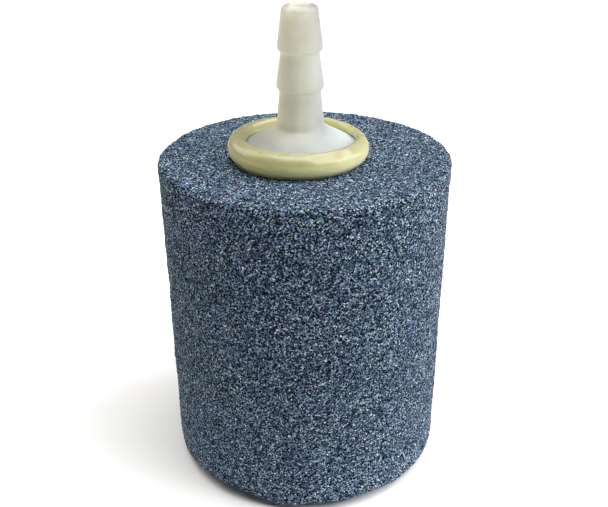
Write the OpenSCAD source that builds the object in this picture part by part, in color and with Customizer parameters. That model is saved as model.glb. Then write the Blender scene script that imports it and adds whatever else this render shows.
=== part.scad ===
// Cylindrical air stone: a porous body of bonded grit with a two-barb hose inlet glued into its top.
// Millimetres. The origin is the centre of the flat base, and +Z runs up the stone's axis.
// Air enters at the inlet's tip, fills the blind chamber and leaves through the pores.

/* [Stone] */
// Outer diameter of the porous body
stone_d = 50; // [40:1:70]
// Height of the porous body
stone_h = 58; // [50:1:80]
// Rounding of the bottom edge
foot_round = 2.4; // [1:0.2:5]
// Rounding of the top edge
rim_round = 0.6; // [0.2:0.1:1.5]

/* [Air chamber] */
// Diameter of the blind bore that feeds air into the stone
chamber_d = 10; // [9.6:0.2:14]
// Depth of the bore's straight wall below the top face
chamber_depth = 36; // [18:1:40]
// Included angle of the conical end that the drill leaves
drill_angle = 118; // [90:2:150]

/* [Barbed inlet] */
// How far the glued inlet sits from the stone's axis, towards -X
inlet_left = 0.7; // [0:0.1:1.5]
// How far the glued inlet sits from the stone's axis, towards -Y
inlet_forward = 1.5; // [0:0.1:2]
// Height of the inlet's tip above the stone's top face
inlet_h = 25.2; // [24.4:0.1:27]
// Diameter of the air passage through the inlet
passage_d = 3.2; // [2:0.1:4]
// Diameter just under the rounded tip
tip_d = 6; // [5.6:0.1:6.2]
// Rounding of the tip's outer edge
tip_round = 0.9; // [0.3:0.1:1]
// Diameter over the lower barb, which the hose seals on
barb_d = 7.9; // [7.6:0.1:8.2]
// How much smaller across each higher barb is
barb_shrink = 0.46; // [0:0.02:0.6]
// Height of the lower barb's underside above the top face
barb_z = 12.1; // [11.5:0.1:12.3]
// Distance from one barb to the next
barb_pitch = 6.2; // [6:0.1:6.5]
// Depth of the undercut below each barb, measured on the radius
barb_undercut = 0.52; // [0.2:0.02:0.6]
// Length of the straight land on each barb
barb_land = 0.6; // [0.4:0.1:0.8]
// Diameter of the stem at its foot
stem_d = 7.9; // [7.4:0.1:8.4]

/* [Flange] */
// Diameter of the flange that sits on the stone
flange_d = 20; // [18:0.5:22]
// Height of the flange's rim above the top face
rim_h = 2.3; // [2:0.1:3]
// Slope of the cone between the rim and the stem
cone_angle = 28.4; // [24:0.2:30]
// Fillet between the cone and the stem
cone_fillet = 1; // [0.4:0.1:1.5]

/* [Spigot] */
// Length of the spigot inside the chamber
spigot_l = 12; // [11:0.5:16]
// Diameter of the spigot between its ribs
spigot_d = 7.8; // [7.2:0.1:8]
// Diameter over the spigot's ribs
rib_d = 9; // [8.4:0.1:9.2]
// Number of ribs that key the spigot into the adhesive
rib_count = 3; // [1:1:3]

/* [Adhesive] */
// Thickness of the adhesive bed under the flange
bed_t = 0.3; // [0.1:0.05:0.6]
// How far the bead reaches beyond the flange
bead_reach = 2.1; // [2:0.1:3]
// Height of the bead's crest above the flange's rim
bead_rise = 1.8; // [1.4:0.1:2.2]

/* [Hidden] */
$fn = 96;
stone_r = stone_d / 2;
chamber_r = chamber_d / 2;
passage_r = passage_d / 2;
flange_r = flange_d / 2;
stem_r = stem_d / 2;
barb_count = 2;
over_cut = 1;
undercut_h = 0.5;
mouth_chamfer = 0.3;
spigot_chamfer = 0.6;
rib_pitch = 3;
rib_land = 0.4;
rib_taper = 1.4;
bare_spigot_l = 1.5;
sleeve_l = spigot_l - bare_spigot_l;
bead_roll_r = 1.8;
bead_foot_angle = 55;
bead_crest_angle = 95;
bead_lip_r = 0.6;
bead_lip_angle = 165;
bead_lap = 0.4;

// Points along an arc from angle a0 to angle a1.
function arc(centre, r, a0, a1, steps = 12) =
    [for (i = [0:steps]) centre + r * [cos(a0 + (a1 - a0) * i / steps), sin(a0 + (a1 - a0) * i / steps)]];

// Height of the flange's cone at radius r.
function cone_z(r) = rim_h + (flange_r - r) * tan(cone_angle);

// Radius over one barb, the lowest being barb 0.
function barb_r(i) = (barb_d - i * barb_shrink) / 2;

// The spigot's ribs from the flange down: a square shoulder above, a lead-in taper below.
function rib_outline() =
    [for (i = [0:rib_count - 1]) let (z = -(0.5 + i) * rib_pitch) each [
        [spigot_d / 2, z],
        [rib_d / 2, z],
        [rib_d / 2, z - rib_land],
        [spigot_d / 2, z - rib_land - rib_taper]]];

// The barbs from the stem up: an undercut, a straight land, then a taper to the next root.
function barb_outline() =
    [for (i = [0:barb_count - 1]) let (z = barb_z + i * barb_pitch) each [
        [barb_r(i) - barb_undercut, z - undercut_h],
        [barb_r(i), z],
        [barb_r(i), z + barb_land]]];

// The flange from its rim up the cone, ending in the fillet at the foot of the stem.
function cone_outline() =
    let (x = stem_r + cone_fillet, z = cone_z(x) + cone_fillet / cos(cone_angle))
    concat([[flange_r, rim_h]], arc([x, z], cone_fillet, 270 - cone_angle, 180));

// The same points in the opposite order.
function reversed(points) = [for (i = [len(points) - 1:-1:0]) points[i]];

// Puts what follows on the inlet's axis, with z = 0 on the stone's top face.
module on_inlet_axis() {
    translate([-inlet_left, -inlet_forward, stone_h]) children();
}

// The porous body: a plain cylinder with soft edges and a drilled blind chamber.
module stone() {
    color([0.28, 0.34, 0.41]) difference() {
        rotate_extrude() polygon(concat(
            [[0, 0]],
            arc([stone_r - foot_round, foot_round], foot_round, -90, 0),
            arc([stone_r - rim_round, stone_h - rim_round], rim_round, 0, 90, 6),
            [[0, stone_h]]));
        on_inlet_axis() {
            translate([0, 0, -chamber_depth]) cylinder(h = chamber_depth + over_cut, r = chamber_r);
            drill_h = chamber_r / tan(drill_angle / 2);
            translate([0, 0, -chamber_depth - drill_h]) cylinder(h = drill_h, r1 = 0, r2 = chamber_r);
        }
    }
}

// One moulded piece: ribbed spigot, flange, cone, stem and two barbs, with the passage through it.
module barbed_inlet() {
    color([0.84, 0.85, 0.81]) on_inlet_axis() rotate_extrude() polygon(concat(
        [[passage_r, -spigot_l],
         [spigot_d / 2 - spigot_chamfer, -spigot_l],
         [spigot_d / 2, -spigot_l + spigot_chamfer]],
        reversed(rib_outline()),
        [[spigot_d / 2, bed_t], [flange_r, bed_t]],
        cone_outline(),
        barb_outline(),
        arc([tip_d / 2 - tip_round, inlet_h - tip_round], tip_round, 0, 90),
        [[passage_r + mouth_chamfer, inlet_h], [passage_r, inlet_h - mouth_chamfer]]));
}

// The adhesive that holds the inlet: a bed under the flange and a sleeve around the spigot.
module bonding_adhesive() {
    color([0.74, 0.70, 0.50]) on_inlet_axis() rotate_extrude() polygon(concat(
        [[chamber_r, 0], [flange_r, 0], [flange_r, bed_t], [spigot_d / 2, bed_t]],
        rib_outline(),
        [[spigot_d / 2, -sleeve_l], [chamber_r, -sleeve_l]]));
}

// The fat bead laid around the flange: a round roll on the stone, with a lip that laps onto the cone.
module sealing_bead() {
    roll = [flange_r + bead_reach - bead_roll_r, rim_h + bead_rise - bead_roll_r];
    foot_angle = min(bead_foot_angle, asin(min(1, roll.y / bead_roll_r)));
    outer = arc(roll, bead_roll_r, -foot_angle, bead_crest_angle);
    lip = roll + (bead_roll_r - bead_lip_r) * [cos(bead_crest_angle), sin(bead_crest_angle)];
    color([0.82, 0.80, 0.60]) on_inlet_axis() rotate_extrude() polygon(concat(
        [[flange_r, 0], [outer[0].x, 0]],
        outer,
        arc(lip, bead_lip_r, bead_crest_angle, bead_lip_angle, 4),
        [[flange_r - bead_lap, cone_z(flange_r - bead_lap)], [flange_r, rim_h]]));
}

stone();
barbed_inlet();
bonding_adhesive();
sealing_bead();
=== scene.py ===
"""Air stone: the looks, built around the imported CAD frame.

The making code works in millimetres in the row frame, and MM turns them into Blender's metres.
Azimuths are in degrees from +X towards +Y, so the side that faces the camera is at -90.
"""
import math
import random

import bpy
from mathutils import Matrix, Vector, noise


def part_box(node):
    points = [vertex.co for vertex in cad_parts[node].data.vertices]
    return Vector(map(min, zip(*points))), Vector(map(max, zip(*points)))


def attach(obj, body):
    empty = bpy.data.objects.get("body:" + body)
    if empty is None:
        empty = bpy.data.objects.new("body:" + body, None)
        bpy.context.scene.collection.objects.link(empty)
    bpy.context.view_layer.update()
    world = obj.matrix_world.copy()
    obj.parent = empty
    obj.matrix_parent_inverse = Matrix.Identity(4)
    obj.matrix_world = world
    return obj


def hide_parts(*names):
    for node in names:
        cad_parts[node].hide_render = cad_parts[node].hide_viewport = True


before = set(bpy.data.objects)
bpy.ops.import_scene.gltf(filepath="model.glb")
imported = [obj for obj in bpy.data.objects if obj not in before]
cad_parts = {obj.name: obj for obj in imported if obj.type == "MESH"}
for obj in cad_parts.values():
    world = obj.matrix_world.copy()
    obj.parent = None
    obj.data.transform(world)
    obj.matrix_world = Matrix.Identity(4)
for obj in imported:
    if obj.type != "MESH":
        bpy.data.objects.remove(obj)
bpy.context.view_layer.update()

MM = 0.001
SEED = 7

# ---------------------------------------------------------------- places and sizes from the frame
STONE_LOW, STONE_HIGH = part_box("stone")
INLET_LOW, INLET_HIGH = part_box("barbed_inlet")
BEAD_LOW, BEAD_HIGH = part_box("sealing_bead")
STONE_R = (STONE_HIGH.x - STONE_LOW.x) / 2 / MM
STONE_H = STONE_HIGH.z / MM
AXIS_X = (INLET_LOW.x + INLET_HIGH.x) / 2 / MM
AXIS_Y = (INLET_LOW.y + INLET_HIGH.y) / 2 / MM
FLANGE_R = (INLET_HIGH.x - INLET_LOW.x) / 2 / MM
TIP_Z = INLET_HIGH.z / MM - STONE_H
SPIGOT_Z = INLET_LOW.z / MM - STONE_H
BEAD_R = (BEAD_HIGH.x - BEAD_LOW.x) / 2 / MM
BEAD_TOP = BEAD_HIGH.z / MM - STONE_H

# Stone, as in the CAD model
FOOT_ROUND = 2.4
RIM_ROUND = 0.6
CHAMBER_R = 5.0
CHAMBER_DEPTH = 36.0
DRILL_DEPTH = 3.0

# Inlet, as in the CAD model, with heights above the stone's top face
PASSAGE_R = 1.6
MOUTH_CHAMFER = 0.3
BED_T = 0.3
SPIGOT_R = 3.9
SPIGOT_CHAMFER = 0.6
RIB_R = 4.5
RIB_COUNT = 3
RIB_PITCH = 3.0
RIB_LAND = 0.4
RIB_TAPER = 1.4
RIM_Z = 2.3
CONE_ANGLE = 28.4
CONE_FILLET = 1.0
STEM_R = 3.95
BARB_COUNT = 2
BARB_R = 3.95
BARB_SHRINK = 0.23
BARB_Z = 12.1
BARB_PITCH = 6.2
BARB_UNDERCUT = 0.52
UNDERCUT_H = 0.5
BARB_LAND = 0.6
TIP_R = 3.0
TIP_ROUND = 0.9


# ---------------------------------------------------------------- outlines
def polar(azimuth, r=1.0):
    """The point at that azimuth and radius, in the horizontal plane."""
    a = math.radians(azimuth)
    return r * math.cos(a), r * math.sin(a)


def arc(centre, r, start, end, steps):
    """Points along an arc in the (radius, height) plane, both ends included."""
    points = []
    for i in range(steps + 1):
        x, z = polar(start + (end - start) * i / steps, r)
        points.append((centre[0] + x, centre[1] + z))
    return points


def run(start, end, step):
    """Evenly spaced points on a line from start up to, but not at, end."""
    count = max(1, round(math.dist(start, end) / step))
    return [
        (start[0] + (end[0] - start[0]) * i / count, start[1] + (end[1] - start[1]) * i / count)
        for i in range(count)
    ]


def rounded(points, radius, steps=4):
    """The outline with each corner cut back by at most radius and rounded with a quadratic curve."""
    out = []
    for i, corner in enumerate(points):
        p = Vector(corner)
        before = Vector(points[i - 1]) - p
        after = Vector(points[(i + 1) % len(points)]) - p
        reach = min(radius, before.length * 0.45, after.length * 0.45)
        a = p + before.normalized() * reach
        b = p + after.normalized() * reach
        for k in range(steps + 1):
            t = k / steps
            q = a * (1 - t) ** 2 + p * 2 * t * (1 - t) + b * t**2
            out.append((q.x, q.y))
    return out


def flattened(points, tilt, depth):
    """The outline pressed flat by depth on the side that faces tilt."""
    out, up = polar(tilt)
    limit = max(x * out + z * up for x, z in points) - depth
    pressed = []
    for x, z in points:
        beyond = max(0.0, x * out + z * up - limit)
        pressed.append((x - out * beyond, z - up * beyond))
    return pressed


def cone_z(r):
    """Height of the flange's cone at radius r."""
    return RIM_Z + (FLANGE_R - r) * math.tan(math.radians(CONE_ANGLE))


# ---------------------------------------------------------------- meshes
def make_object(name, vertices, faces, material):
    """A smooth-shaded mesh object from millimetre vertices, with one material."""
    mesh = bpy.data.meshes.new(name)
    mesh.from_pydata([(x * MM, y * MM, z * MM) for x, y, z in vertices], [], faces)
    mesh.validate()
    mesh.materials.append(material)
    mesh.polygons.foreach_set("use_smooth", [True] * len(mesh.polygons))
    obj = bpy.data.objects.new(name, mesh)
    bpy.context.scene.collection.objects.link(obj)
    return obj


def ring_faces(rings, segments, closed):
    """Quads between neighbouring rings of a turned body, and from the last to the first if closed."""
    faces = []
    for i in range(rings if closed else rings - 1):
        low, high = i * segments, (i + 1) % rings * segments
        for j in range(segments):
            k = (j + 1) % segments
            faces.append((low + j, low + k, high + k, high + j))
    return faces


def turn(name, section, segments, material):
    """A closed ring-shaped body round the inlet's axis. section(azimuth) gives its outline there."""
    columns = [section(360 * j / segments) for j in range(segments)]
    rings = len(columns[0])
    vertices = []
    for i in range(rings):
        for j in range(segments):
            r, z = columns[j][i]
            x, y = polar(360 * j / segments, r)
            vertices.append((AXIS_X + x, AXIS_Y + y, STONE_H + z))
    return make_object(name, vertices, ring_faces(rings, segments, True), material)


def finish_piece(obj, node):
    """Rides the piece on the one body and lets it stand for its CAD node."""
    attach(obj, "root")
    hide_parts(node)


# ---------------------------------------------------------------- material helpers
SCATTER_MM = 12.0
CLOUD_SHADES = [(0.3, 0.94), (0.7, 1.05)]


def new_material(name):
    """A new node material, its node tree and its Principled shader."""
    material = bpy.data.materials.new(name)
    material.use_nodes = True
    return material, material.node_tree, material.node_tree.nodes["Principled BSDF"]


def add(tree, kind, inputs=None, **settings):
    """Adds a node. inputs maps a socket's name or number to a value or to another node's output."""
    made = tree.nodes.new("ShaderNode" + kind)
    for key, value in settings.items():
        setattr(made, key, value)
    for key, value in (inputs or {}).items():
        if isinstance(value, bpy.types.NodeSocket):
            tree.links.new(value, made.inputs[key])
        else:
            made.inputs[key].default_value = value
    return made


def ramp(tree, source, stops):
    """A colour ramp over source. stops is a list of (position, grey or (r, g, b))."""
    made = add(tree, "ValToRGB", {0: source})
    elements = made.color_ramp.elements
    while len(elements) < len(stops):
        elements.new(0.5)
    for element, (position, tone) in zip(elements, stops):
        element.position = position
        rgb = (tone, tone, tone) if isinstance(tone, (int, float)) else tone
        element.color = (*rgb, 1.0)
    return made.outputs["Color"]


def mix(tree, factor, a, b, blend="MIX"):
    """Colour a with b over it, by factor."""
    made = tree.nodes.new("ShaderNodeMix")
    made.data_type = "RGBA"
    made.blend_type = blend
    sockets = [made.inputs[0], made.inputs[6], made.inputs[7]]
    for socket, value in zip(sockets, (factor, a, b)):
        if isinstance(value, bpy.types.NodeSocket):
            tree.links.new(value, socket)
        elif isinstance(value, (int, float)):
            socket.default_value = value
        else:
            socket.default_value = (*value, 1.0)
    return made.outputs[2]


def multiply(tree, tone, shade):
    """The tone times the shade."""
    return mix(tree, 1.0, tone, shade, "MULTIPLY")


def math_node(tree, operation, a, b):
    """The result of one arithmetic step."""
    return add(tree, "Math", {0: a, 1: b}, operation=operation).outputs[0]


def vector_node(tree, operation, a, b):
    """The result of one step with vectors. SCALE takes a plain factor for b."""
    factor = "Scale" if operation == "SCALE" else 1
    return add(tree, "VectorMath", {0: a, factor: b}, operation=operation).outputs[0]


def object_position(tree):
    """The surface point in the row frame, in metres."""
    return add(tree, "TexCoord").outputs["Object"]


def noise_at(tree, position, size_mm, detail=2.0, roughness=0.5):
    """A node of smooth noise from 0 to 1, with features of about that size."""
    settings = {"Vector": position, "Scale": 1 / (size_mm * MM), "Detail": detail, "Roughness": roughness}
    return add(tree, "TexNoise", settings)


def cells(tree, position, size_mm, feature="F1"):
    """A node of Voronoi cells of about that size."""
    return add(tree, "TexVoronoi", {"Vector": position, "Scale": 1 / (size_mm * MM)}, feature=feature)


def span(tree, value, start, end):
    """How far value has come from start to end, in millimetres, held between 0 and 1."""
    return add(tree, "MapRange", {"Value": value, "From Min": start * MM, "From Max": end * MM}).outputs[0]


def clouded(tree, position, tone, size_mm, detail):
    """The tone with faint lighter and darker clouds."""
    cloud = noise_at(tree, position, size_mm, detail=detail).outputs["Fac"]
    return multiply(tree, tone, ramp(tree, cloud, CLOUD_SHADES))


def scatter(shader, weight, radius):
    """Lets light spread inside the material."""
    shader.inputs["Subsurface Weight"].default_value = weight
    shader.inputs["Subsurface Radius"].default_value = radius
    shader.inputs["Subsurface Scale"].default_value = SCATTER_MM * MM


def wavy_skin(tree, shader, relief, low, high, depth_mm):
    """Roughness from low to high, and a shallow bump of that depth, both following the relief."""
    tree.links.new(ramp(tree, relief, [(0.3, low), (0.7, high)]), shader.inputs["Roughness"])
    bump = add(tree, "Bump", {"Strength": 0.3, "Distance": depth_mm * MM, "Height": relief})
    tree.links.new(bump.outputs[0], shader.inputs["Normal"])


# ---------------------------------------------------------------- grit
GRAIN_MM = 0.24
LARGE_GRAIN_MM = 0.5
PORE_MM = 0.27
# Both the size and the reach of the bends in the grains' edges
WOBBLE_MM = 0.3
# The bump's depth, and in it how far a grain slopes to its edge, how deep a pore is and how grains differ
GRIT_RELIEF_MM = 0.2
GRAIN_SLOPE, PORE_DEPTH, GRAIN_LIFT = -0.5, 0.9, 0.6
GRAIN_TONES = [
    (0.0, (0.003, 0.009, 0.022)),
    (0.30, (0.038, 0.074, 0.134)),
    (0.58, (0.146, 0.217, 0.335)),
    (0.82, (0.298, 0.407, 0.535)),
    (0.95, (0.49, 0.61, 0.69)),
    (1.0, (0.82, 0.86, 0.83)),
]
# The large pale grains and the yellow ones: tone and share, and how far out from its middle one is pale
PALE_GRAIN = (0.72, 0.78, 0.76)
PALE_SHARE = 0.006
PALE_REACH = 0.42
YELLOW_GRAIN = (0.78, 0.72, 0.20)
YELLOW_SHARE = 0.001
# Painted shade: black at a grain's edge (0) and in a pore, where the pore noise is low
EDGE_PAINTED_SHADE = [(0.0, 0.0), (0.16, 1.0)]
PORE_PAINTED_SHADE = [(0.408, 0.0), (0.448, 1.0)]
GRIT_ROUGHNESS = [(0.0, 0.42), (0.25, 0.62), (1.0, 0.9)]
# Slow changes: the size of each, and the tints over it
BROAD_MM, PATCH_MM = 9.0, 1.8
BROAD_SHADES = [(0.3, (0.91, 0.92, 0.935)), (0.7, (1.01, 1.01, 1.0))]
PATCH_TINTS = [(0.35, (1.05, 0.98, 1.05)), (0.5, (1.0, 1.0, 1.0)), (0.65, (0.95, 1.03, 0.99))]
# Painted light that lifts the shaded foot: shades from near the foot (0) up to about half height (1)
FOOT_PAINTED_LIGHT = [(0.0, 1.33), (1.0, 1.0)]
LOW_START_Z, LOW_END_Z = 2, 26


def wobbled(tree, position):
    """The position shifted a little by noise, so that the grains' edges bend."""
    wobble = noise_at(tree, position, WOBBLE_MM, detail=1.0).outputs["Color"]
    centred = vector_node(tree, "SUBTRACT", wobble, (0.5, 0.5, 0.5))
    offset = vector_node(tree, "SCALE", centred, WOBBLE_MM * MM)
    return vector_node(tree, "ADD", position, offset)


def grain_tone(tree, bent, chance):
    """Each grain's own colour: slate blue, with a few large pale grains and very few yellow ones."""
    tone = ramp(tree, chance.outputs[0], GRAIN_TONES)
    large = cells(tree, bent, LARGE_GRAIN_MM)
    large_chance = add(tree, "SeparateColor", {0: large.outputs["Color"]}).outputs[0]
    chosen = math_node(tree, "GREATER_THAN", large_chance, 1 - PALE_SHARE)
    inner = math_node(tree, "LESS_THAN", large.outputs["Distance"], PALE_REACH)
    tone = mix(tree, math_node(tree, "MULTIPLY", chosen, inner), tone, PALE_GRAIN)
    yellow = math_node(tree, "GREATER_THAN", chance.outputs[1], 1 - YELLOW_SHARE)
    return mix(tree, yellow, tone, YELLOW_GRAIN)


def drifting_with_foot_light(tree, position, tone):
    """The tone with slow changes of shade and hue, and painted light that makes it lighter towards the
    stone's shaded foot.
    """
    broad = noise_at(tree, position, BROAD_MM, detail=3.0).outputs["Fac"]
    tone = multiply(tree, tone, ramp(tree, broad, BROAD_SHADES))
    height = add(tree, "SeparateXYZ", {0: position}).outputs["Z"]
    # Painted light: lighter towards the stone's shaded foot
    tone = multiply(tree, tone, ramp(tree, span(tree, height, LOW_START_Z, LOW_END_Z), FOOT_PAINTED_LIGHT))
    patch = noise_at(tree, position, PATCH_MM, detail=2.0).outputs["Fac"]
    return multiply(tree, tone, ramp(tree, patch, PATCH_TINTS))


def grit_relief(tree, grains, chance, pores):
    """The normal of a surface of grains at different heights, with the pores sunk between them."""
    relief = math_node(tree, "MULTIPLY", grains.outputs["Distance"], GRAIN_SLOPE)
    relief = math_node(tree, "ADD", relief, math_node(tree, "MULTIPLY", pores, PORE_DEPTH))
    relief = math_node(tree, "ADD", relief, math_node(tree, "MULTIPLY", chance.outputs[1], GRAIN_LIFT))
    bump = add(tree, "Bump", {"Strength": 1.0, "Distance": GRIT_RELIEF_MM * MM, "Height": relief})
    return bump.outputs[0]


def grit_material():
    """Bonded grit: grains of many tones, with painted shade, black, in the pores and the gaps between them.
    """
    material, tree, shader = new_material("bonded_grit")
    position = object_position(tree)
    bent = wobbled(tree, position)
    grains = cells(tree, bent, GRAIN_MM)
    chance = add(tree, "SeparateColor", {0: grains.outputs["Color"]})
    tone = drifting_with_foot_light(tree, position, grain_tone(tree, bent, chance))

    # Painted shade: black in the gaps between the grains and in the pores
    edge = cells(tree, bent, GRAIN_MM, "DISTANCE_TO_EDGE").outputs["Distance"]
    tone = multiply(tree, tone, ramp(tree, edge, EDGE_PAINTED_SHADE))
    pits = noise_at(tree, position, PORE_MM, detail=0.5).outputs["Fac"]
    pores = ramp(tree, pits, PORE_PAINTED_SHADE)
    tree.links.new(multiply(tree, tone, pores), shader.inputs["Base Color"])

    shader.inputs["Specular IOR Level"].default_value = 0.05
    tree.links.new(ramp(tree, chance.outputs[2], GRIT_ROUGHNESS), shader.inputs["Roughness"])
    tree.links.new(grit_relief(tree, grains, chance, pores), shader.inputs["Normal"])
    return material


# ---------------------------------------------------------------- plastic
# Tones with painted light across the inlet, from the left edge of the flange (0) to its right edge (1): the
# stem is painted warmer at the left and much darker at its lit right, and the cone darker in the stem's shade
# at the left and lighter at its lit right
STEM_TONES_AND_LIGHT = [(0.3, (0.52, 0.50, 0.395)), (0.5, (0.53, 0.525, 0.44)), (0.68, (0.225, 0.235, 0.24))]
CONE_TONES_AND_LIGHT = [(0.1, (0.28, 0.285, 0.235)), (0.5, (0.325, 0.34, 0.315)), (0.9, (0.48, 0.52, 0.51))]
# Painted light up the inlet, from the flange's rim (0) to the tip (1): lighter low on the shaded stem, and
# painted shade darkening the brightly lit tip
HEIGHT_PAINTED_LIGHT = [
    (0.07, 1.0),
    (0.20, 1.13),
    (0.45, 1.06),
    (0.65, 1.0),
    (0.83, (0.86, 0.86, 0.88)),
    (0.94, (0.65, 0.66, 0.71)),
    (1.0, (0.40, 0.41, 0.45)),
]
# Where the cone's tones give way to the stem's, in millimetres above the flange's rim
BLEND_START, BLEND_END = 1.5, 4.5
# Painted light under each barb, where the barb's shadow falls: how far the lighter band reaches down and up,
# and how light it is
BAND_DOWN, BAND_UP = 1.2, 0.6
BAND_PAINTED_LIGHT = 1.19


def inlet_tone_and_light(tree, position):
    """The plastic's colour with painted light by place: warmer at the left and darker at the lit right,
    painted darker at the brightly lit tip, and painted lighter under the barbs where their shadow falls.
    """
    place = add(tree, "SeparateXYZ", {0: position}).outputs
    across = span(tree, place["X"], AXIS_X - FLANGE_R, AXIS_X + FLANGE_R)
    # Painted light: the stem is darker at its lit right, and the cone darker at the shaded left and lighter
    # at the lit right
    stem = ramp(tree, across, STEM_TONES_AND_LIGHT)
    cone = ramp(tree, across, CONE_TONES_AND_LIGHT)
    rim = STONE_H + RIM_Z
    above_cone = span(tree, place["Z"], rim + BLEND_START, rim + BLEND_END)
    tone = clouded(tree, position, mix(tree, above_cone, cone, stem), size_mm=6.0, detail=3.0)
    # Painted light: lighter low on the stem, and painted shade at the brightly lit tip
    rise = span(tree, place["Z"], rim, STONE_H + TIP_Z)
    tone = multiply(tree, tone, ramp(tree, rise, HEIGHT_PAINTED_LIGHT))
    # Painted light: a lighter band under each barb, against the shadow it casts
    for i in range(BARB_COUNT):
        undercut = STONE_H + BARB_Z + i * BARB_PITCH - UNDERCUT_H / 2
        below = span(tree, place["Z"], undercut - BAND_DOWN, undercut)
        above = span(tree, place["Z"], undercut + BAND_UP, undercut)
        band = math_node(tree, "MULTIPLY", below, above)
        tone = multiply(tree, tone, ramp(tree, band, [(0.0, 1.0), (1.0, BAND_PAINTED_LIGHT)]))
    return tone


def inlet_material():
    """Natural translucent plastic with a soft gloss and faint scuffs."""
    material, tree, shader = new_material("inlet_plastic")
    position = object_position(tree)
    # The base colour holds painted light and shade
    tree.links.new(inlet_tone_and_light(tree, position), shader.inputs["Base Color"])
    scatter(shader, weight=1.0, radius=(1.0, 0.95, 0.75))
    shader.inputs["IOR"].default_value = 1.5
    shader.inputs["Specular IOR Level"].default_value = 0.35
    scuffs = noise_at(tree, position, size_mm=1.2, detail=4.0, roughness=0.65).outputs["Fac"]
    wavy_skin(tree, shader, scuffs, low=0.38, high=0.52, depth_mm=0.06)
    return material


# ---------------------------------------------------------------- adhesive
# Tones with painted light up the bead, from the stone's top face (0) to the bead's crest (1): paler at the
# shaded foot, darker at the lit crest
ADHESIVE_TONES_AND_LIGHT = [
    (0.0, (1.0, 0.93, 0.50)),
    (0.35, (0.92, 0.86, 0.42)),
    (0.7, (0.385, 0.37, 0.19)),
    (1.0, (0.255, 0.247, 0.14)),
]
SPECK_TONE = (0.16, 0.12, 0.07)
SPECK_SPACING_MM = 1.6
SPECK_REACH = 0.055


def adhesive_material(name):
    """Glossy cream adhesive with tiny dark specks and a rippled skin, and painted light: paler at its shaded
    foot, darker at its lit crest.
    """
    material, tree, shader = new_material(name)
    position = object_position(tree)
    height = add(tree, "SeparateXYZ", {0: position}).outputs["Z"]
    # Painted light: paler at the shaded foot, darker at the lit crest
    tone = ramp(tree, span(tree, height, STONE_H, STONE_H + BEAD_TOP), ADHESIVE_TONES_AND_LIGHT)
    tone = clouded(tree, position, tone, size_mm=4.0, detail=2.0)
    specks = cells(tree, position, SPECK_SPACING_MM)
    dots = math_node(tree, "LESS_THAN", specks.outputs["Distance"], SPECK_REACH)
    tree.links.new(mix(tree, dots, tone, SPECK_TONE), shader.inputs["Base Color"])
    scatter(shader, weight=0.5, radius=(1.0, 0.97, 0.6))
    shader.inputs["Specular IOR Level"].default_value = 0.25
    shader.inputs["Coat Weight"].default_value = 0.5
    shader.inputs["Coat Roughness"].default_value = 0.06
    ripple = noise_at(tree, position, size_mm=2.5, detail=2.0).outputs["Fac"]
    wavy_skin(tree, shader, ripple, low=0.24, high=0.38, depth_mm=0.12)
    return material


# ---------------------------------------------------------------- stone
STONE_SEGMENTS = 384
GRAIN_STEP = 0.38
UNDERSIDE_STEP = 0.6
HIDDEN_STEP = 3.0
DRILL_STEP = 1.0
# Radius of the first ring round the base's middle, and of the last ring in the drilled end
BASE_RING_R = 0.6
DRILL_RING_R = 0.8
# How far outside the bead the fine rings of the top face stop
SEAT_MARGIN = 1.5
# Roughness of the surface: each point's own part, then (height, length) of two sizes of lumps
JITTER = 0.09
LUMPS = [(0.12, 1.1), (0.16, 7.0)]
# Rings up to this height belong to the base and stay on the stone's axis. The chamber's rings don't
BASE_TOP_Z = 1
# Broken places on the bottom edge: azimuth, downward tilt of the break, depth cut off the edge
CHIPS = [
    (-140, 50, 0.9),
    (-123, 46, 0.9),
    (-84, 44, 0.5),
    (-63, 44, 0.6),
    (-40, 55, 0.5),
    (35, 48, 1.2),
    (110, 58, 1.0),
    (170, 45, 0.9),
]


def stone_stretches():
    """The stone's outline in four stretches: its base, side, top and chamber."""
    foot = (STONE_R - FOOT_ROUND, FOOT_ROUND)
    rim = (STONE_R - RIM_ROUND, STONE_H - RIM_ROUND)
    seat = BEAD_R + SEAT_MARGIN
    bottom = STONE_H - CHAMBER_DEPTH
    drill_ring = (DRILL_RING_R, bottom - DRILL_DEPTH * (1 - DRILL_RING_R / CHAMBER_R))
    base = run((BASE_RING_R, 0), (foot[0], 0), UNDERSIDE_STEP)
    side = arc(foot, FOOT_ROUND, -90, 0, 10)
    side += run((STONE_R, FOOT_ROUND), (STONE_R, rim[1]), GRAIN_STEP)[1:]
    side += arc(rim, RIM_ROUND, 0, 90, 3)
    top = run((rim[0], STONE_H), (seat, STONE_H), GRAIN_STEP)[1:]
    top += run((seat, STONE_H), (CHAMBER_R, STONE_H), HIDDEN_STEP)
    chamber = run((CHAMBER_R, STONE_H), (CHAMBER_R, bottom), HIDDEN_STEP)
    chamber += run((CHAMBER_R, bottom), drill_ring, DRILL_STEP)
    return base, side, top, chamber


def path_normals(path):
    """The outward direction at each point of the outline."""
    normals = []
    for i in range(len(path)):
        a = path[max(i - 1, 0)]
        b = path[min(i + 1, len(path) - 1)]
        dr, dz = b[0] - a[0], b[1] - a[1]
        length = math.hypot(dr, dz)
        normals.append((dz / length, -dr / length))
    return normals


def cut_chips(point):
    """Moves a point that lies beyond a chip's plane back onto it."""
    for azimuth, tilt, depth in CHIPS:
        out, down = polar(tilt)
        x, y = polar(azimuth)
        facing = Vector((x * out, y * out, -down))
        edge = (STONE_R - FOOT_ROUND) * out - FOOT_ROUND * down + FOOT_ROUND
        beyond = point.dot(facing) - (edge - depth)
        if beyond > 0:
            point = point - facing * beyond
    return point


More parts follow.
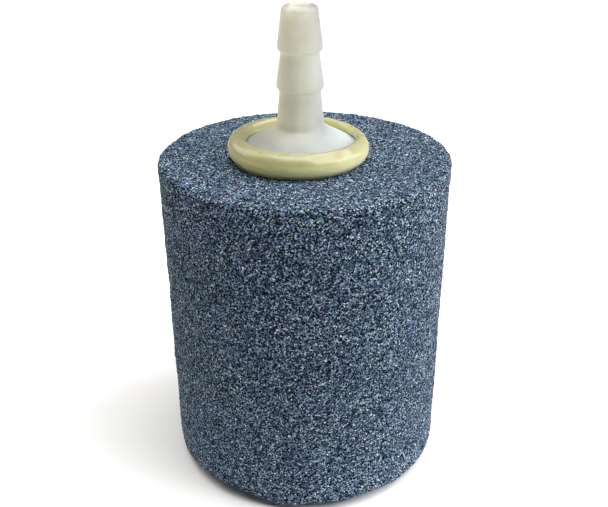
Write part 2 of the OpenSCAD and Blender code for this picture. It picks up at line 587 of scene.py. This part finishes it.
def axis_shift(r, z):
    """How far a ring of the top face has moved from the stone's axis (0) to the inlet's axis (1)."""
    if z <= BASE_TOP_Z:
        return 0.0
    rim_r = STONE_R - RIM_ROUND
    return min(1.0, max(0.0, (rim_r - r) / (rim_r - BEAD_R)))


def roughness_at(point, rng):
    """How far the rough surface stands out at that point."""
    push = rng.uniform(-JITTER, JITTER)
    for height, length in LUMPS:
        push += height * noise.noise(point / length)
    return push


def stone_vertices(path):
    """Vertices of the rough stone, ring by ring. Its rings move over to the inlet's axis inside the seat."""
    rng = random.Random(SEED)
    vertices = []
    for (r, z), (out, up) in zip(path, path_normals(path)):
        in_chamber = r < CHAMBER_R + 0.1 and z > BASE_TOP_Z
        shift = axis_shift(r, z)
        for j in range(STONE_SEGMENTS):
            x, y = polar(360 * j / STONE_SEGMENTS)
            point = Vector((x * r + AXIS_X * shift, y * r + AXIS_Y * shift, z))
            push = 0.0 if in_chamber else roughness_at(point, rng)
            point = cut_chips(point) + Vector((x * out, y * out, up)) * push
            point.z = max(point.z, 0.0)
            vertices.append(tuple(point))
    return vertices


def face_corners(number, rings):
    """The (ring, column) of each corner of that face. The two middle points count as their ring."""
    grid = (rings - 1) * STONE_SEGMENTS
    if number < grid:
        row, j = divmod(number, STONE_SEGMENTS)
        return [(row, j), (row, j + 1), (row + 1, j + 1), (row + 1, j)]
    j, in_chamber = divmod(number - grid, 2)
    if in_chamber:
        return [(rings - 1, j), (rings - 1, j), (rings - 1, j + 1)]
    return [(0, j), (0, j + 1), (0, j)]


def lengths_along(path):
    """How far along the outline each of its points lies."""
    along = [0.0]
    for a, b in zip(path, path[1:]):
        along.append(along[-1] + math.dist(a, b))
    return along


# The flat layout, in millimetres: the height of a strip, the chamber's height and the gaps
STRIP_H = 60.0
CHAMBER_SHEET_H = 24
SHEET_GAP = 1


def lay_flat(mesh, stretches):
    """A flat layout of the stone for baking: its side in two strips, its ends as discs, and its chamber."""
    half_turn = math.pi * STONE_R
    half = STONE_SEGMENTS // 2
    discs = half_turn + SHEET_GAP
    sheet = discs + 2 * STONE_R
    along = lengths_along([point for stretch in stretches for point in stretch])
    rings = len(along)
    first_side = len(stretches[0])
    last_side = first_side + len(stretches[1]) - 1
    first_chamber = rings - len(stretches[3])

    def flat(i, j, row, strip, vertex):
        if first_side <= row < last_side:
            return (j - strip * half) / half * half_turn, STRIP_H * strip + along[i] - along[first_side]
        if row >= first_chamber:
            depth = (along[i] - along[first_chamber]) / (along[-1] - along[first_chamber])
            low = 4 * STONE_R + 2 * SHEET_GAP
            return discs + 2 * STONE_R * j / STONE_SEGMENTS, low + CHAMBER_SHEET_H * depth
        x, y, _ = mesh.vertices[vertex].co / MM
        middle = STONE_R if row < first_side else 3 * STONE_R
        return discs + STONE_R + x, middle + y

    layer = mesh.uv_layers.new(name="OFBake")
    for polygon in mesh.polygons:
        corners = face_corners(polygon.index, rings)
        row, column = corners[0]
        for loop, (i, j) in zip(polygon.loop_indices, corners):
            u, v = flat(i, j, row, column // half, mesh.loops[loop].vertex_index)
            layer.data[loop].uv = (u / sheet, v / sheet)


def make_stone(material):
    """The porous body with its broken bottom edge and its chamber."""
    stretches = stone_stretches()
    path = [point for stretch in stretches for point in stretch]
    vertices = stone_vertices(path)
    faces = ring_faces(len(path), STONE_SEGMENTS, False)
    base = len(vertices)
    tip = base + 1
    last = base - STONE_SEGMENTS
    vertices += [(0, 0, 0), (AXIS_X, AXIS_Y, STONE_H - CHAMBER_DEPTH - DRILL_DEPTH)]
    for j in range(STONE_SEGMENTS):
        k = (j + 1) % STONE_SEGMENTS
        faces.append((base, k, j))
        faces.append((tip, last + j, last + k))
    stone = make_object("porous_stone", vertices, faces, material)
    lay_flat(stone.data, stretches)
    finish_piece(stone, "stone")


# ---------------------------------------------------------------- inlet
INLET_SEGMENTS = 128
CORNER_ROUND = 0.15
BARB_ROUND = 0.2
# How far below the first barb the stem's straight part is taken to end
STEM_RUN = 3


def spigot_outline():
    """The lower part of the outline: the ribbed spigot, then the flange up to its rim."""
    points = [(PASSAGE_R, SPIGOT_Z), (SPIGOT_R - SPIGOT_CHAMFER, SPIGOT_Z)]
    points.append((SPIGOT_R, SPIGOT_Z + SPIGOT_CHAMFER))
    for i in reversed(range(RIB_COUNT)):
        z = -(0.5 + i) * RIB_PITCH
        points += [(SPIGOT_R, z - RIB_LAND - RIB_TAPER), (RIB_R, z - RIB_LAND), (RIB_R, z), (SPIGOT_R, z)]
    points += [(SPIGOT_R, BED_T), (FLANGE_R, BED_T), (FLANGE_R, RIM_Z)]
    return rounded(points, CORNER_ROUND)


def barb_outline():
    """The barbs, with soft corners. Only for the rounding, the outline goes on below and above them."""
    points = []
    for i in range(BARB_COUNT):
        r, z = BARB_R - i * BARB_SHRINK, BARB_Z + i * BARB_PITCH
        points += [(r - BARB_UNDERCUT, z - UNDERCUT_H), (r, z), (r, z + BARB_LAND)]
    before = (STEM_R, points[0][1] - STEM_RUN)
    after = (TIP_R, TIP_Z - TIP_ROUND)
    longer = [before, *points, after]
    out = rounded(longer, BARB_ROUND)
    per_corner = len(out) // len(longer)
    return out[per_corner:-per_corner]


def inlet_outline():
    """The inlet's closed outline, from the spigot's end up the outside and down the passage."""
    x = STEM_R + CONE_FILLET
    z = cone_z(x) + CONE_FILLET / math.cos(math.radians(CONE_ANGLE))
    fillet = arc((x, z), CONE_FILLET, 270 - CONE_ANGLE, 180, 10)
    tip = arc((TIP_R - TIP_ROUND, TIP_Z - TIP_ROUND), TIP_ROUND, 0, 90, 10)
    mouth = [(PASSAGE_R + MOUTH_CHAMFER, TIP_Z), (PASSAGE_R, TIP_Z - MOUTH_CHAMFER)]
    return spigot_outline() + fillet + barb_outline() + tip + mouth


def make_inlet(material):
    """The hose inlet, one moulded piece from its spigot to its tip."""
    outline = inlet_outline()
    inlet = turn("hose_inlet", lambda azimuth: outline, INLET_SEGMENTS, material)
    finish_piece(inlet, "barbed_inlet")


# ---------------------------------------------------------------- bead
BEAD_SEGMENTS = 192
ROLL_STEPS = 20
CREST_ANGLE = 95
LIP_END_ANGLE = 165
BEAD_HALF_WIDTH = 1.7
BEAD_HALF_HEIGHT = 1.95
BEAD_INSET = 0.1
BEAD_LIP_R = 0.6
BEAD_LIP_OUT = 0.05
BEAD_LAP = 0.4
LEFT_LAP = 0.3
# The roll's section is an oval with full sides: 1 would leave it an oval, and 0 make it a box
FULLNESS = 0.85
# The fattest side, and how much it adds to the half width, the reach and the height
FAT_SIDE = 215
FAT_WIDTH, FAT_REACH, FAT_TOP = 0.35, 0.5, 0.05
# Slow unevenness: where its noise is read, and its part in the half width, the reach and the height
UNEVEN_R, UNEVEN_Z = 1.7, 4.3
UNEVEN_WIDTH, UNEVEN_REACH, UNEVEN_TOP = 0.03, 0.1, 0.06
# Where the bead ends on top of its start, how soon it drops, how far the thin start goes on, how thin
BEAD_END = -9
END_DROP, THIN_SPREAD = 6, 90
THIN_REACH, THIN_TOP = 0.15, 0.4
# The foot's angle on the oval, how much lower it is on the side that it is tucked under, and which side
FOOT_ANGLE = -62
FOOT_TUCK, FOOT_TUCK_SIDE = 20, -25
# The wiped patch: its middle, the cosine of the angle to its edge, its depth and the way it faces
WIPED_SIDE = -46
WIPED_EDGE = 0.76
WIPED_DEPTH = 0.28
WIPED_SLOPE = 2.5
WIPED_TILT = 50


def bead_roll(azimuth):
    """The bead's round outside there, from its foot to its crest, before it was wiped."""
    x, y = polar(azimuth, UNEVEN_R)
    uneven = noise.noise(Vector((x, y, UNEVEN_Z)))
    fat = polar(azimuth - FAT_SIDE)[0]
    past_end = (azimuth - BEAD_END) % 360
    thin = max(0.0, 1 - past_end / THIN_SPREAD) * min(1.0, past_end / END_DROP)
    half_width = BEAD_HALF_WIDTH + FAT_WIDTH * fat + UNEVEN_WIDTH * uneven
    reach = BEAD_R - BEAD_INSET + FAT_REACH * fat + UNEVEN_REACH * uneven - THIN_REACH * thin
    top = BEAD_TOP + FAT_TOP * fat + UNEVEN_TOP * uneven - THIN_TOP * thin
    centre = (reach - half_width, top - BEAD_HALF_HEIGHT)
    foot = FOOT_ANGLE - FOOT_TUCK * max(0.0, polar(azimuth - FOOT_TUCK_SIDE)[0])
    roll = []
    for i in range(ROLL_STEPS + 1):
        across, up = polar(foot + (CREST_ANGLE - foot) * i / ROLL_STEPS)
        across = math.copysign(abs(across) ** FULLNESS, across)
        roll.append((centre[0] + half_width * across, centre[1] + BEAD_HALF_HEIGHT * up))
    return roll


def bead_section(azimuth):
    """The bead's outline there, with its outside wiped flatter at the front right and a lip on the cone."""
    wiped = max(0.0, polar(azimuth - WIPED_SIDE)[0] - WIPED_EDGE) / (1 - WIPED_EDGE)
    depth = WIPED_DEPTH * min(1.0, WIPED_SLOPE * wiped) ** 2
    roll = flattened(bead_roll(azimuth), WIPED_TILT, depth)
    crest = roll[-1]
    lip = arc((crest[0] + BEAD_LIP_OUT, crest[1] - BEAD_LIP_R), BEAD_LIP_R, CREST_ANGLE, LIP_END_ANGLE, 8)
    lap = FLANGE_R - BEAD_LAP - LEFT_LAP * max(0.0, -polar(azimuth)[0])
    inner = []
    for t in (0.25, 0.5, 0.75):
        fall = (1 - t) ** 2
        inner.append((lip[-1][0] * (1 - t) + lap * t, lip[-1][1] * fall + cone_z(lap) * (1 - fall)))
    return [(FLANGE_R, 0), (roll[0][0], 0)] + roll + lip[1:] + inner + [(lap, cone_z(lap)), (FLANGE_R, RIM_Z)]


def make_bead(material):
    """The bead of adhesive laid around the flange."""
    bead = turn("adhesive_bead", bead_section, BEAD_SEGMENTS, material)
    finish_piece(bead, "sealing_bead")


def dress_bonding():
    """The hidden adhesive keeps its CAD shape and takes the adhesive's looks."""
    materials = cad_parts["bonding_adhesive"].data.materials
    materials.clear()
    materials.append(adhesive_material("cured_adhesive"))


# ---------------------------------------------------------------- camera, light and floor
# Where the camera is, in stone radii from the middle of the stone's top face
CAMERA_LEFT = 0.009
CAMERA_BACK = 5.3
CAMERA_UP = 1.9
# How far it looks down and tilts, in degrees, and its lens in millimetres
CAMERA_PITCH = 26.76
CAMERA_ROLL = -0.32
CAMERA_LENS = 47.96
FLOOR_HALF = 3000
# The lights: their distance in metres from a point at this share of the stone's height
LIGHT_DISTANCE = 0.9
TARGET_SHARE = 0.7
WHITE = (1.0, 1.0, 1.0)
WARM = (1.0, 0.95, 0.87)
SURROUNDINGS = (1.0, 0.97, 0.93)


def add_camera():
    """The camera that sees the stone as the photo does."""
    data = bpy.data.cameras.new("photo_camera")
    data.lens = CAMERA_LENS
    data.sensor_width = 36
    data.clip_start = 0.01
    data.clip_end = 20
    camera = bpy.data.objects.new("photo_camera", data)
    place = (-CAMERA_LEFT * STONE_R, -CAMERA_BACK * STONE_R, STONE_H + CAMERA_UP * STONE_R)
    camera.location = Vector(place) * MM
    camera.rotation_mode = "XYZ"
    camera.rotation_euler = (math.radians(90 - CAMERA_PITCH), 0, 0)
    camera.rotation_euler.rotate_axis("Z", math.radians(CAMERA_ROLL))
    bpy.context.scene.collection.objects.link(camera)
    bpy.context.scene.camera = camera


def add_area(name, azimuth, elevation, size, power, colour=WHITE):
    """A square soft box, sized in metres, that faces the upper part of the stone from that direction."""
    data = bpy.data.lights.new(name, "AREA")
    data.size = size
    data.energy = power
    data.color = colour
    light = bpy.data.objects.new(name, data)
    level, up = polar(elevation, LIGHT_DISTANCE)
    x, y = polar(azimuth, level)
    target = Vector((0, 0, STONE_H * MM * TARGET_SHARE))
    light.location = target + Vector((x, y, up))
    light.rotation_mode = "QUATERNION"
    light.rotation_quaternion = (light.location - target).to_track_quat("Z", "Y")
    bpy.context.scene.collection.objects.link(light)


def add_world(strength):
    """Even pale surroundings."""
    world = bpy.data.worlds.new("studio")
    world.use_nodes = True
    background = world.node_tree.nodes["Background"]
    background.inputs["Color"].default_value = (*SURROUNDINGS, 1.0)
    background.inputs["Strength"].default_value = strength
    bpy.context.scene.world = world


def floor_material():
    """Plain pale studio floor."""
    material, tree, shader = new_material("floor")
    cloud = noise_at(tree, object_position(tree), size_mm=400.0).outputs["Fac"]
    tree.links.new(ramp(tree, cloud, [(0.0, 0.79), (1.0, 0.81)]), shader.inputs["Base Color"])
    shader.inputs["Roughness"].default_value = 0.9
    shader.inputs["Specular IOR Level"].default_value = 0.1
    return material


def add_floor(material):
    """A wide pale floor under the stone."""
    half = FLOOR_HALF
    corners = [(-half, -half, 0), (half, -half, 0), (half, half, 0), (-half, half, 0)]
    make_object("floor", corners, [(0, 1, 2, 3)], material)


# ---------------------------------------------------------------- the scene
add_camera()
add_world(strength=0.1)
add_area("side_light", azimuth=0, elevation=28, size=0.8, power=11.0)
add_area("key_light", azimuth=-28, elevation=42, size=0.35, power=2.0)
add_area("top_light", azimuth=0, elevation=85, size=0.9, power=12.0)
add_area("back_light", azimuth=150, elevation=38, size=0.7, power=3.6, colour=WARM)
add_floor(floor_material())
make_stone(grit_material())
make_inlet(inlet_material())
make_bead(adhesive_material("bead_adhesive"))
dress_bonding()
bpy.context.scene.view_settings.view_transform = "Standard"
